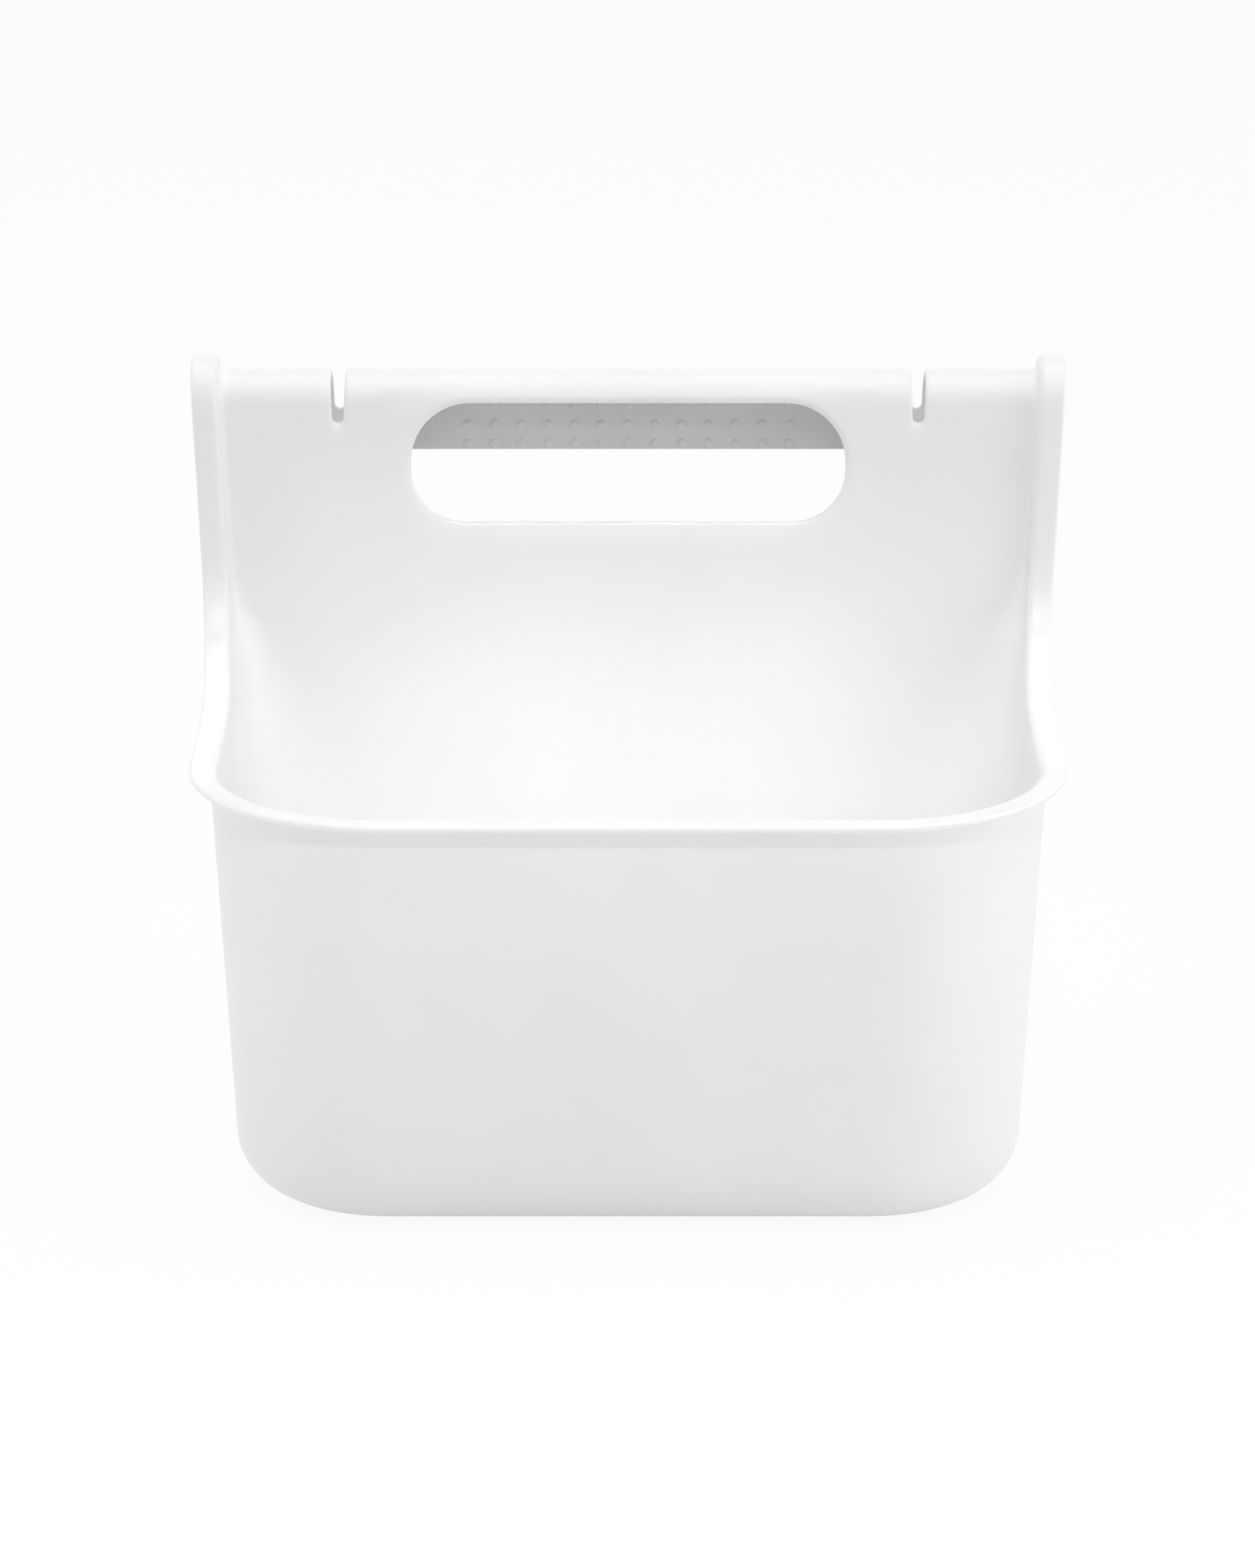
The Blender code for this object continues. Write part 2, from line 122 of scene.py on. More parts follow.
# Feet and drain holes
FOOT_RADIUS = 0.0070
FOOT_THICKNESS = 0.0018
FOOT_RECESS = 0.0008
FOOT_CLEARANCE = 0.0003
FOOT_INSET = 0.0300
FOOT_ROUNDING = 0.0004
DRAIN_RADIUS = 0.0030
DRAIN_PITCH = 0.0220
DRAIN_COLUMNS = 6
DRAIN_ROWS = 3
FLOOR_MARGIN = 0.0030
OVERRUN = 0.0030

# Patches of the panel round the notches and the hand hole
NOTCH_PATCH_HALF = 0.0060
NOTCH_PATCH_END = 0.0045
HOLE_PATCH_BESIDE = 0.0086
HOLE_PATCH_TOP = 0.0046
EDGE_RING = 0.0014
FLARE_RING = 0.0026

# Facet counts
FRONT_STEPS = 10
CORNER_STEPS = 24
SIDE_STEPS = 8
SWEEP_SIDE_STEPS = 10
REAR_CORNER_STEPS = 12
OUTER_STEPS = 7
NOTCH_STEPS = 8
BETWEEN_STEPS = 3
MIDDLE_STEPS = 24
BASE_FILLET_STEPS = 10
WALL_ROWS = 22
SWEEP_ROWS = 12
BEND_STEPS = 5
PANEL_ROWS = 12
BELOW_ROLL_ROWS = 4
HOLE_TOP_ROWS = 5
ROLL_ROWS = 30
LEG_ROWS = 3
ROUND_SIDES = 48
DRAIN_SIDES = 32
DOT_SIDES = 20
DOT_RINGS = 4
FOOT_ROUNDING_STEPS = 4
PATCH_RINGS = 5
EDGE_SEGMENTS = 4
GRIP_SEGMENTS = 3
HALVINGS = 30

BEZIER_SHARE = 0.5523
SHARP_ANGLE = radians(32.0)
RIM_EDGE_ANGLE = radians(60.0)
MERGE_DISTANCE = 0.00002

# Materials: colours are linear, grain and waves are (features per metre, height in metres)
NOISE_MIDDLE = (0.3, 0.7)
COLOUR_DRIFT = 18.0
DRIFT_DETAIL = 2.0
GRAIN_DETAIL = 3.0
WAVE_DETAIL = 1.0
WHITE_DARK = (0.882, 0.882, 0.885)
WHITE_LIGHT = (0.910, 0.910, 0.910)
WHITE_ROUGHNESS = (0.27, 0.35)
WHITE_GRAIN = (2600.0, 0.000004)
WHITE_WAVES = (38.0, 0.00006)
PLASTIC_IOR = 1.49
GREY_DARK = (0.625, 0.628, 0.632)
GREY_LIGHT = (0.675, 0.678, 0.682)
GREY_ROUGHNESS = (0.62, 0.76)
GREY_GRAIN = (4200.0, 0.000014)
GREY_WAVES = (60.0, 0.00004)
RUBBER_DARK = (0.530, 0.530, 0.535)
RUBBER_LIGHT = (0.575, 0.575, 0.575)
RUBBER_ROUGHNESS = (0.70, 0.82)
RUBBER_GRAIN = (3600.0, 0.000016)
RUBBER_WAVES = (70.0, 0.00003)

# Lamps: name, azimuth and elevation in degrees, distance, width, height, power in watts,
# opening of the beam in degrees, target
LAMPS = (
    ("top", 0.0, 89.0, 1.2, 1.4, 1.2, 7.4, 180.0, (0.0, 0.0, 0.12)),
    ("side_right", 80.0, 12.0, 1.3, 0.9, 0.9, 4.2, 180.0, (0.0, 0.0, 0.10)),
    ("side_left", -95.0, 12.0, 1.3, 0.9, 0.9, 2.2, 180.0, (0.0, 0.0, 0.10)),
    ("onto_back", 0.0, 43.0, 0.8, 0.22, 0.08, 0.0385, 14.0, (0.0, 0.050, 0.092)),
    ("floor_front", 0.0, 80.0, 0.6, 0.8, 0.25, 0.34, 70.0, (0.0, -0.42, 0.0)),
)
WORLD_LEVEL = 0.545
FLOOR_SIZE = 6.0
FLOOR_GREY = 0.92
FLOOR_GLOW = 0.93
FLOOR_ROUGHNESS = (0.86, 0.94)
FLOOR_GRAIN = 400.0

# Camera, fitted to the photograph
VIEW_TARGET = (-0.0002, -0.0126, 0.1155)
VIEW_DISTANCE = 1.750
VIEW_ELEVATION = radians(18.1)
VIEW_LENS_MM = 139.1
VIEW_SENSOR_MM = 36.0

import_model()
body_low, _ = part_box("caddy_body")
FRONT_Y = body_low.y
BASE_Z = body_low.z

# Places worked out from the sizes above
INNER_HALF = RIM_WIDTH / 2 - FLANGE_WIDTH
UPRIGHT = pi / 2 - PANEL_LEAN
SWEEP_TOP = RIM_HEIGHT + SWEEP_RADIUS * (1 - sin(PANEL_LEAN))
FRONT_NORMAL = (-cos(PANEL_LEAN), sin(PANEL_LEAN))
BACK_NORMAL = (cos(LEG_FLARE), sin(LEG_FLARE))
PANEL_UP = (sin(PANEL_LEAN), cos(PANEL_LEAN))
LEG_DOWN = (sin(LEG_FLARE), -cos(LEG_FLARE))
PANEL_FOOT = (SWEEP_START + (SWEEP_RADIUS + FLANGE_PROUD) * cos(PANEL_LEAN),
              SWEEP_TOP - FLANGE_PROUD * sin(PANEL_LEAN))


def panel_depth(height):
    """Depth of the panel's front face, which leans back as it rises."""
    return PANEL_FOOT[0] + (height - PANEL_FOOT[1]) * tan(PANEL_LEAN)


PANEL_TOP = ROLL_CENTRE_HEIGHT + ROLL_RADIUS * FRONT_NORMAL[1]
ROLL_CENTRE = (panel_depth(PANEL_TOP) - ROLL_RADIUS * FRONT_NORMAL[0], ROLL_CENTRE_HEIGHT)
ROLL_CROWN = ROLL_CENTRE_HEIGHT + ROLL_RADIUS
ROLL_TURN = pi - PANEL_LEAN - LEG_FLARE
ROLL_ALONG = ROLL_RADIUS * ROLL_TURN
LEG_TOP = ROLL_CENTRE_HEIGHT + ROLL_RADIUS * BACK_NORMAL[1]


def offset(point, direction, distance):
    return (point[0] + direction[0] * distance, point[1] + direction[1] * distance)


def world(x, depth, height):
    return Vector((x, FRONT_Y + depth, BASE_Z + height))


# Finding places on the panel, the roll and the leg

def path_point(along):
    """Point and outward normal at a distance along the handle; 0 is where the roll begins."""
    if along <= 0:
        return offset((panel_depth(PANEL_TOP), PANEL_TOP), PANEL_UP, along), FRONT_NORMAL
    if along <= ROLL_ALONG:
        angle = PANEL_LEAN + along / ROLL_RADIUS
        normal = (-cos(angle), sin(angle))
        return offset(ROLL_CENTRE, normal, ROLL_RADIUS), normal
    end = offset(ROLL_CENTRE, BACK_NORMAL, ROLL_RADIUS)
    return offset(end, LEG_DOWN, along - ROLL_ALONG), BACK_NORMAL


def surface(x, along, sunk=0.0):
    """Place on the handle's visible face, pressed in by sunk."""
    point, normal = path_point(along)
    return world(x, *offset(point, normal, -sunk))


def along_panel(height):
    """Distance along for a height on the front panel; negative, as it lies before the roll."""
    return (height - PANEL_TOP) / cos(PANEL_LEAN)


# The bin's inner face, level by level

def half_width(height):
    draft = LOWER_DRAFT if height < RIM_HEIGHT else UPPER_DRAFT
    return INNER_HALF + (height - RIM_HEIGHT) * tan(draft)


def front_depth(height):
    return FLANGE_WIDTH + (RIM_HEIGHT - height) * tan(LOWER_DRAFT)


def rear_depth(height):
    if height >= RIM_HEIGHT:
        return panel_depth(height)
    return panel_depth(RIM_HEIGHT) - (RIM_HEIGHT - height) * tan(REAR_DRAFT)


def front_corner(height):
    top = FLANGE_CORNER - FLANGE_WIDTH
    bottom = BASE_CORNER - WALL
    return bottom + (top - bottom) * (height - WALL) / (RIM_HEIGHT - WALL)


def sweep_point(angle):
    """Point of the flange's top face along the sweep: 0 leaves the rim, 90 degrees is upright."""
    return (SWEEP_START + SWEEP_RADIUS * sin(angle), RIM_HEIGHT + SWEEP_RADIUS * (1 - cos(angle)))


def bend_radius(angle):
    """Rounding between wall and flange: soft along the rim, tighter up the panel."""
    return EDGE_BEND + (SIDE_BEND - EDGE_BEND) * angle / UPRIGHT


def below_sweep(angle):
    """Where the wall leaves the bend under the flange, square to the sweep."""
    return offset(sweep_point(angle), (sin(angle), -cos(angle)), bend_radius(angle))


MEETING_HEIGHT = sweep_point(SWEEP_MEETING)[1]
MEETING_CORNER = rear_depth(MEETING_HEIGHT) - below_sweep(SWEEP_MEETING)[0]


def rear_corner(height):
    """Rear corner radius: full low in the bin, easing in until it meets the sweep."""
    gain = REAR_CORNER - MEETING_CORNER
    run = 2 * gain / REAR_CORNER_SLOPE
    down = min(MEETING_HEIGHT - height, run)
    return MEETING_CORNER + REAR_CORNER_SLOPE * down - gain * (down / run) ** 2


def side_run(height):
    """Where the flat side wall starts, its length, and the whole length round to the back panel."""
    start = front_depth(height) + front_corner(height)
    flat = rear_depth(height) - rear_corner(height) - start
    return start, flat, flat + rear_corner(height) * pi / 2


def side_lines():
    """Lines up the side wall and rear corner: the height where each ends, and its share of the run."""
    first = side_run(RIM_HEIGHT)[0]
    rim_shares = [step / SIDE_STEPS for step in range(1, SIDE_STEPS + 1)]
    sweep_shares = [step / SWEEP_SIDE_STEPS for step in range(1, SWEEP_SIDE_STEPS + 1)]
    ends = [(first + (SWEEP_START - first) * share, RIM_HEIGHT) for share in rim_shares]
    ends += [sweep_point(SWEEP_MEETING * share) for share in sweep_shares]
    lines = []
    for depth, height in ends:
        start, _, whole = side_run(height)
        lines.append((height, (depth - start) / whole))
    _, flat, whole = side_run(MEETING_HEIGHT)
    for step in range(1, REAR_CORNER_STEPS + 1):
        angle = pi / 2 * step / REAR_CORNER_STEPS
        lines.append((MEETING_HEIGHT, (flat + MEETING_CORNER * angle) / whole))
    return lines


SIDE_LINES = side_lines()


def side_point(height, share, inset):
    start, flat, whole = side_run(height)
    corner, along = rear_corner(height), share * whole
    if along <= flat:
        return world(half_width(height) - inset, start + along, height)
    angle = (along - flat) / corner
    return world(half_width(height) - corner + (corner - inset) * cos(angle),
                 start + flat + (corner - inset) * sin(angle), height)


def even(start, end, steps):
    """Values after start, up to end, in equal steps."""
    return [start + (end - start) * step / steps for step in range(1, steps + 1)]


NOTCH_X = NOTCH_SPACING / 2
HOLE_PATCH_X = HOLE_WIDTH / 2 + HOLE_PATCH_BESIDE


def back_columns(edge):
    """Distances from the middle plane of the lines across the panel, from its edge inwards."""
    return (even(edge, NOTCH_X + NOTCH_PATCH_HALF, OUTER_STEPS)
            + even(NOTCH_X + NOTCH_PATCH_HALF, NOTCH_X - NOTCH_PATCH_HALF, NOTCH_STEPS)
            + even(NOTCH_X - NOTCH_PATCH_HALF, HOLE_PATCH_X, BETWEEN_STEPS)
            + even(HOLE_PATCH_X, 0, MIDDLE_STEPS))


MEETING_EDGE = half_width(MEETING_HEIGHT) - MEETING_CORNER
BACK_SHARES = [x / MEETING_EDGE for x in back_columns(MEETING_EDGE)]


def section(level, rise=0.0, inset=0.0):
    """One row of half the bin, from the front's middle round to the back's middle.

    level is the row's height, or where a rise is given, its share of the way up to the cut edge."""
    start = BASE_FILLET

    def height(top):
        return start + (top - start) * rise if rise else level

    rim = height(RIM_HEIGHT)
    corner = front_corner(rim) - inset
    half, front = half_width(rim) - inset, front_depth(rim) + inset
    row = [world((half - corner) * step / FRONT_STEPS, front, rim) for step in range(FRONT_STEPS)]
    for step in range(CORNER_STEPS + 1):
        angle = pi / 2 * step / CORNER_STEPS
        row.append(world(half - corner + corner * sin(angle), front + corner * (1 - cos(angle)), rim))
    for index, (top, share) in enumerate(SIDE_LINES, 1):
        even_share = index / len(SIDE_LINES)
        row.append(side_point(height(top), even_share + (share - even_share) * rise, inset))
    last = row[-1]
    return row + [Vector((last.x * share, last.y, last.z)) for share in BACK_SHARES]


def rim_edge():
    """Corner line between wall and flange up to the meeting: point, ways out and down, bend radius."""
    top = section(0, rise=1.0)
    count = FRONT_STEPS + CORNER_STEPS + 1 + SIDE_STEPS + SWEEP_SIDE_STEPS
    edge = []
    for index, point in enumerate(top[:count]):
        turn = min(max(index - FRONT_STEPS, 0) / CORNER_STEPS, 1) * pi / 2
        swept = max(index - (count - 1 - SWEEP_SIDE_STEPS), 0) / SWEEP_SIDE_STEPS * SWEEP_MEETING
        out = Vector((sin(turn), -cos(turn), 0))
        edge.append((point, out, Vector((0, sin(swept), -cos(swept))), bend_radius(swept)))
    return edge


def lower_rows():
    """Rows from the floor up to where the wall bends into the flange."""
    fillet = BASE_FILLET - WALL
    rows = [section(WALL, inset=fillet + FLOOR_MARGIN)]
    for step in range(BASE_FILLET_STEPS + 1):
        angle = pi / 2 * step / BASE_FILLET_STEPS
        rows.append(section(WALL + fillet * (1 - cos(angle)), inset=fillet * (1 - sin(angle))))
    rows += [section(0, rise=step / WALL_ROWS) for step in range(1, WALL_ROWS + 1)]
    for index, (point, _, down, radius) in enumerate(rim_edge()):
        rows[-1][index] = point + down * radius
    return rows


def row_places():
    """Distances along the handle of the rows above the sweep, and where the patches begin and end."""
    foot = along_panel(SWEEP_TOP)
    notch_front = (ROLL_CROWN - NOTCH_DEPTH - PANEL_TOP) / cos(PANEL_LEAN)
    notch_back = ROLL_ALONG + (LEG_TOP - ROLL_CROWN + NOTCH_DEPTH) / cos(LEG_FLARE)
    marks = [foot, notch_front - NOTCH_PATCH_END, 0, HOLE_PATCH_TOP, notch_back + NOTCH_PATCH_END,
             ROLL_ALONG + LEG_LENGTH]
    counts = (PANEL_ROWS, BELOW_ROLL_ROWS, HOLE_TOP_ROWS, ROLL_ROWS, LEG_ROWS)
    places = []
    for start, end, steps in zip(marks, marks[1:], counts):
        places += even(start, end, steps)
    return places, notch_front, notch_back


ROW_PLACES, NOTCH_FRONT, NOTCH_BACK = row_places()


def corner_row(half, start, end, row_height):
    """Points of a concave quarter turn from the bend to the panel, in a row across the corner."""
    corner = end[0] - start[0]
    points = []
    for step in range(REAR_CORNER_STEPS + 1):
        angle = pi / 2 * step / REAR_CORNER_STEPS
        share = sin(angle)
        points.append(world(half - corner * (1 - cos(angle)), start[0] + corner * share,
                            start[1] + (row_height - start[1]) * share))
    return points


def upper_rows():
    """Rows above the meeting, each with the flange's corner point, its way down and bend radius."""
    rows = []
    for step in range(1, SWEEP_ROWS + 1):
        angle = SWEEP_MEETING + (UPRIGHT - SWEEP_MEETING) * step / SWEEP_ROWS
        face = sweep_point(angle)
        half = half_width(face[1])
        panel = (panel_depth(face[1]), face[1])
        row = corner_row(half, below_sweep(angle), panel, face[1])
        row += [world(x, *panel) for x in back_columns(half - panel[0] + below_sweep(angle)[0])]
        rows.append((row, world(half, *face), Vector((0, sin(angle), -cos(angle))), bend_radius(angle)))
    for along in ROW_PLACES:
        point, normal = path_point(along)
        face = offset(point, normal, FLANGE_PROUD)
        bend = offset(face, normal, -SIDE_BEND)
        half, corner = half_width(face[1]), FLANGE_PROUD - SIDE_BEND
        row = []
        for step in range(REAR_CORNER_STEPS + 1):
            angle = pi / 2 * step / REAR_CORNER_STEPS
            sunk = offset(bend, normal, -corner * sin(angle))
            row.append(world(half - corner * (1 - cos(angle)), *sunk))
        row += [surface(x, along) for x in back_columns(half - corner)]
        rows.append((row, world(half, *face), Vector((0, -normal[0], -normal[1])), SIDE_BEND))
    return rows


def bend_points(corner, out, down, radius):
    """A round bend from the wall up to the flange, without its first point."""
    hold = radius * (1 - BEZIER_SHARE)
    ends = (corner + down * radius, corner + down * hold, corner + out * hold, corner + out * radius)
    points = []
    for step in range(1, BEND_STEPS + 1):
        share = step / BEND_STEPS
        rest = 1 - share
        points.append(ends[0] * rest ** 3 + ends[1] * 3 * rest ** 2 * share
                      + ends[2] * 3 * rest * share ** 2 + ends[3] * share ** 3)
    return points


# Outlines of the cut-outs, on the flattened panel as (x, along)

def notch_edge(x, along):
    """Nearest point of the notch's outline, seen from its middle line."""
    low, high = NOTCH_FRONT + NOTCH_BOTTOM_WIDTH / 2, NOTCH_BACK - NOTCH_BOTTOM_WIDTH / 2
    middle = min(max(along, low), high)
    up = max(path_point(middle)[0][1] - (ROLL_CROWN - NOTCH_DEPTH), 0) / NOTCH_DEPTH
    width = NOTCH_BOTTOM_WIDTH + (NOTCH_TOP_WIDTH - NOTCH_BOTTOM_WIDTH) * up
    away = Vector((x - NOTCH_X, along - middle)).normalized()
    return NOTCH_X + away.x * width / 2, middle + away.y * width / 2


HOLE_MIDDLE = along_panel(ROLL_CENTRE_HEIGHT + HOLE_ABOVE_ROLL_CENTRE - HOLE_HEIGHT / 2)


def inside_hole(x, up):
    radius = HOLE_TOP_CORNER if up > 0 else HOLE_BOTTOM_CORNER
    beyond_x = max(abs(x) - (HOLE_WIDTH / 2 - radius), 0)
    beyond_up = max(abs(up) - (HOLE_HEIGHT / 2 - radius), 0)
    return hypot(beyond_x, beyond_up) < radius


def hole_edge(x, along):
    """Point of the hand hole's outline on the way from its middle line to a place outside it."""
    middle = min(x, HOLE_WIDTH / 2 - HOLE_HEIGHT / 2)
    away = (x - middle, along - HOLE_MIDDLE)
    low, high = 0.0, 1.0
    for _ in range(HALVINGS):
        share = (low + high) / 2
        if inside_hole(middle + away[0] * share, away[1] * share):
            low = share
        else:
            high = share
    return middle + away[0] * low, HOLE_MIDDLE + away[1] * low


def pressed(distance, reach, depth):
    """Depth of a rounded lip that fades out at its reach from the edge."""
    return depth * (1 - distance / reach) ** 2 if distance < reach else 0.0


def hole_lip(down):
    """Reach of the hand hole's dish in a direction: wide below, narrow beside, none above."""
    if down > 0:
        return DISH_BESIDE + (DISH_BELOW - DISH_BESIDE) * down
    return max(DISH_BESIDE * (1 + down), 0)


def hole_sunk(distance, down):
    reach = hole_lip(down)
    dish = DISH_DEPTH / DISH_BELOW * max(reach - distance, 0)
    return dish + pressed(distance, FLARE_RING, HOLE_FLARE)


def notch_lip(down):
    return NOTCH_FLARE_BELOW * max(down, 0)


def notch_sunk(distance, down):
    """Narrow lip all round the notch, broad and deep under its front end."""
    reach = notch_lip(down)
    below = pressed(distance, reach, NOTCH_FLARE * down) if reach > 0 else 0.0
    return max(pressed(distance, NOTCH_LIP_REACH, NOTCH_LIP), below)


def add_patch(bm, border, places, edge_of, lip_of, sunk_of, closed):
    """Rings of faces from the outline of a cut-out, past its lip, to the border of its patch."""
    rings = [[] for _ in range(PATCH_RINGS)]
    for x, along in places:
        edge_x, edge_along = edge_of(x, along)
        way = Vector((x - edge_x, along - edge_along))
        whole = way.length
        way.normalize()
        down = -way.y
        lip = max(lip_of(down), FLARE_RING)
        distances = (0, EDGE_RING, (EDGE_RING + lip) / 2, lip, (lip + whole) / 2)
        for ring, distance in zip(rings, distances):
            here = (edge_x + way.x * distance, edge_along + way.y * distance)
            ring.append(bm.verts.new(surface(*here, sunk_of(distance, down))))
    rings.append(border)
    last = len(border) if closed else len(border) - 1
    for inner, outer in zip(rings, rings[1:]):
        for index in range(last):
            after = (index + 1) % len(border)
            bm.faces.new((inner[index], inner[after], outer[after], outer[index]))


def make_skin():
    """Half of the moulding's visible face, open at the middle plane, the cut-outs and the edges."""
    bm = bmesh.new()
    lower = [[bm.verts.new(point) for point in row] for row in lower_rows()]
    for below, above in zip(lower, lower[1:]):
        for left in range(len(below) - 1):
            bm.faces.new((below[left], below[left + 1], above[left + 1], above[left]))
    bm.faces.new(lower[0])

    edge = rim_edge()
    upper = upper_rows()
    made = [[bm.verts.new(point) for point in row] for row, _, _, _ in upper]
    grid = [lower[-1][len(edge) - 1:]] + made

    # The last column before each patch, counted along a row from the bend
    notch_left = REAR_CORNER_STEPS + OUTER_STEPS
    notch_right = notch_left + NOTCH_STEPS
    hole_left = notch_right + BETWEEN_STEPS
    hole_right = hole_left + MIDDLE_STEPS
    notch_row = SWEEP_ROWS + PANEL_ROWS
    hole_top_row = notch_row + BELOW_ROLL_ROWS + HOLE_TOP_ROWS
    notch_rows = (notch_row, hole_top_row + ROLL_ROWS)
    hole_rows = (SWEEP_ROWS, hole_top_row)

    def in_patch(row, column):
        return (notch_rows[0] <= row < notch_rows[1] and notch_left <= column < notch_right
                or hole_rows[0] <= row < hole_rows[1] and hole_left <= column < hole_right)

    for row, (below, above) in enumerate(zip(grid, grid[1:])):
        for column in range(len(below) - 1):
            if not in_patch(row, column):
                bm.faces.new((below[column], below[column + 1], above[column + 1], above[column]))

    columns = back_columns(0)
    alongs = [along_panel(SWEEP_TOP)] + ROW_PLACES

    def place(row, column):
        """A grid point's place on the flattened panel, which begins at the top of the sweep."""
        return columns[column - REAR_CORNER_STEPS - 1], alongs[row - SWEEP_ROWS]

    def corner_list(rows, left, right, closed):
        first, last = rows
        loop = [(first, column) for column in range(right, left, -1)]
        loop += [(row, left) for row in range(first, last)]
        loop += [(last, column) for column in range(left, right + (0 if closed else 1))]
        if closed:
            loop += [(row, right) for row in range(last, first, -1)]
        return loop

    for rows, left, right, edge_of, lip_of, sunk_of, closed in (
            (notch_rows, notch_left, notch_right, notch_edge, notch_lip, notch_sunk, True),
            (hole_rows, hole_left, hole_right, hole_edge, hole_lip, hole_sunk, False)):
        loop = corner_list(rows, left, right, closed)
        border = [grid[row][column] for row, column in loop]
        places = [place(row, column) for row, column in loop]
        add_patch(bm, border, places, edge_of, lip_of, sunk_of, closed)

    corners = edge + [(point, Vector((1, 0, 0)), down, radius) for _, point, down, radius in upper]
    starts = lower[-1][:len(edge)] + [row[0] for row in made]
    strips = []
    for start, (corner, out, down, radius) in zip(starts, corners):
        strip = [start] + [bm.verts.new(point) for point in bend_points(corner, out, down, radius)]
        reach = (radius + FLANGE_WIDTH) / 2
        strip += [bm.verts.new(corner + out * distance) for distance in (reach, FLANGE_WIDTH)]
        strips.append(strip)
    for this, after in zip(strips, strips[1:]):
        for index in range(len(this) - 1):
            bm.faces.new((this[index], this[index + 1], after[index + 1], after[index]))

    bmesh.ops.recalc_face_normals(bm, faces=bm.faces)
    floor = max(bm.faces, key=lambda face: len(face.verts))
    if floor.normal.z < 0:
        bmesh.ops.reverse_faces(bm, faces=bm.faces)
    return bm


# Helpers for objects

def mesh_object(name, bm):
    mesh = bpy.data.meshes.new(name)
    bm.to_mesh(mesh)
    bm.free()
    made = bpy.data.objects.new(name, mesh)
    bpy.context.scene.collection.objects.link(made)
    return made


def add_modifier(target, kind, **settings):
    made = target.modifiers.new(kind.title(), kind)
    for key, value in settings.items():
        setattr(made, key, value)
    return made


def settle(made, look):
    """Applies an object's modifiers, shades it, and keeps its broad faces flat in the shading."""
    bpy.context.view_layer.update()
    mesh = bpy.data.meshes.new_from_object(made.evaluated_get(bpy.context.evaluated_depsgraph_get()))
    made.modifiers.clear()
    made.data = mesh
    mesh.name = made.name
    mesh.shade_smooth()
    mesh.set_sharp_from_angle(angle=SHARP_ANGLE)
    mesh.materials.clear()
    mesh.materials.append(look)
    add_modifier(made, "WEIGHTED_NORMAL", keep_sharp=True)
    return made


def add_loft(bm, rings):
    """Adds a closed solid through rings of equal count."""
    made = [[bm.verts.new(point) for point in ring] for ring in rings]
    for this, after in zip(made, made[1:]):
        for index in range(len(this)):
            following = (index + 1) % len(this)
            bm.faces.new((this[index], this[following], after[following], after[index]))
    bm.faces.new(made[0])
    bm.faces.new(made[-1])
    bmesh.ops.recalc_face_normals(bm, faces=bm.faces)


def disc_rings(levels, sides, centre):
    """Rings of a round solid from its (height, radius) levels."""
    turns = [2 * pi * step / sides for step in range(sides)]
    rings = []
    for height, wide in levels:
        rings.append([world(centre[0] + wide * cos(turn), centre[1] + wide * sin(turn), height)
                      for turn in turns])
    return rings


def foot_places():
    half = half_width(0) - FOOT_INSET
    front, back = front_depth(0) + FOOT_INSET, rear_depth(0) - FOOT_INSET
    return {"foot_front_left": (-half, front), "foot_front_right": (half, front),
            "foot_rear_left": (-half, back), "foot_rear_right": (half, back)}


def underside_cutter():
    bm = bmesh.new()
    wide = FOOT_RADIUS + FOOT_CLEARANCE
    for centre in foot_places().values():
        add_loft(bm, disc_rings([(-OVERRUN, wide), (FOOT_RECESS, wide)], ROUND_SIDES, centre))
    middle = (front_depth(0) + rear_depth(0)) / 2
    for column in range(DRAIN_COLUMNS):
        for row in range(DRAIN_ROWS):
            centre = ((column - (DRAIN_COLUMNS - 1) / 2) * DRAIN_PITCH,
                      middle + (row - (DRAIN_ROWS - 1) / 2) * DRAIN_PITCH)
            levels = [(-OVERRUN, DRAIN_RADIUS), (WALL + OVERRUN, DRAIN_RADIUS)]
            add_loft(bm, disc_rings(levels, DRAIN_SIDES, centre))
    return mesh_object("underside_cutter", bm)


# Pieces

def make_body(look):
    body = mesh_object("moulded_caddy", make_skin())
    add_modifier(body, "MIRROR", use_clip=True, use_mirror_merge=True, merge_threshold=MERGE_DISTANCE)
    add_modifier(body, "SOLIDIFY", thickness=WALL, offset=-1.0, use_even_offset=True,
                 use_quality_normals=True)
    add_modifier(body, "BEVEL", width=EDGE_ROUNDING, segments=EDGE_SEGMENTS, limit_method="ANGLE",
                 angle_limit=RIM_EDGE_ANGLE, use_clamp_overlap=False)
    cutter = underside_cutter()
    add_modifier(body, "BOOLEAN", operation="DIFFERENCE", object=cutter, solver="EXACT")
    settle(body, look)
    bpy.data.objects.remove(cutter, do_unlink=True)
    return body


def grip_outline():
    """Cross-section of the grip, as (depth, height): up the rear leg and round under the crown."""
    outer = ROLL_RADIUS - WALL - GRIP_CLEARANCE
    inner = outer - GRIP_THICKNESS
    angles = [LEG_FLARE] + even(LEG_FLARE, GRIP_TOP_ANGLE, ROLL_ROWS // 2)
    back = [offset(ROLL_CENTRE, (cos(angle), sin(angle)), outer) for angle in angles]
    front = [offset(ROLL_CENTRE, (cos(angle), sin(angle)), inner) for angle in angles]
    return ([offset(back[0], LEG_DOWN, LEG_LENGTH)] + back + front[::-1]
            + [offset(front[0], LEG_DOWN, LEG_LENGTH)])


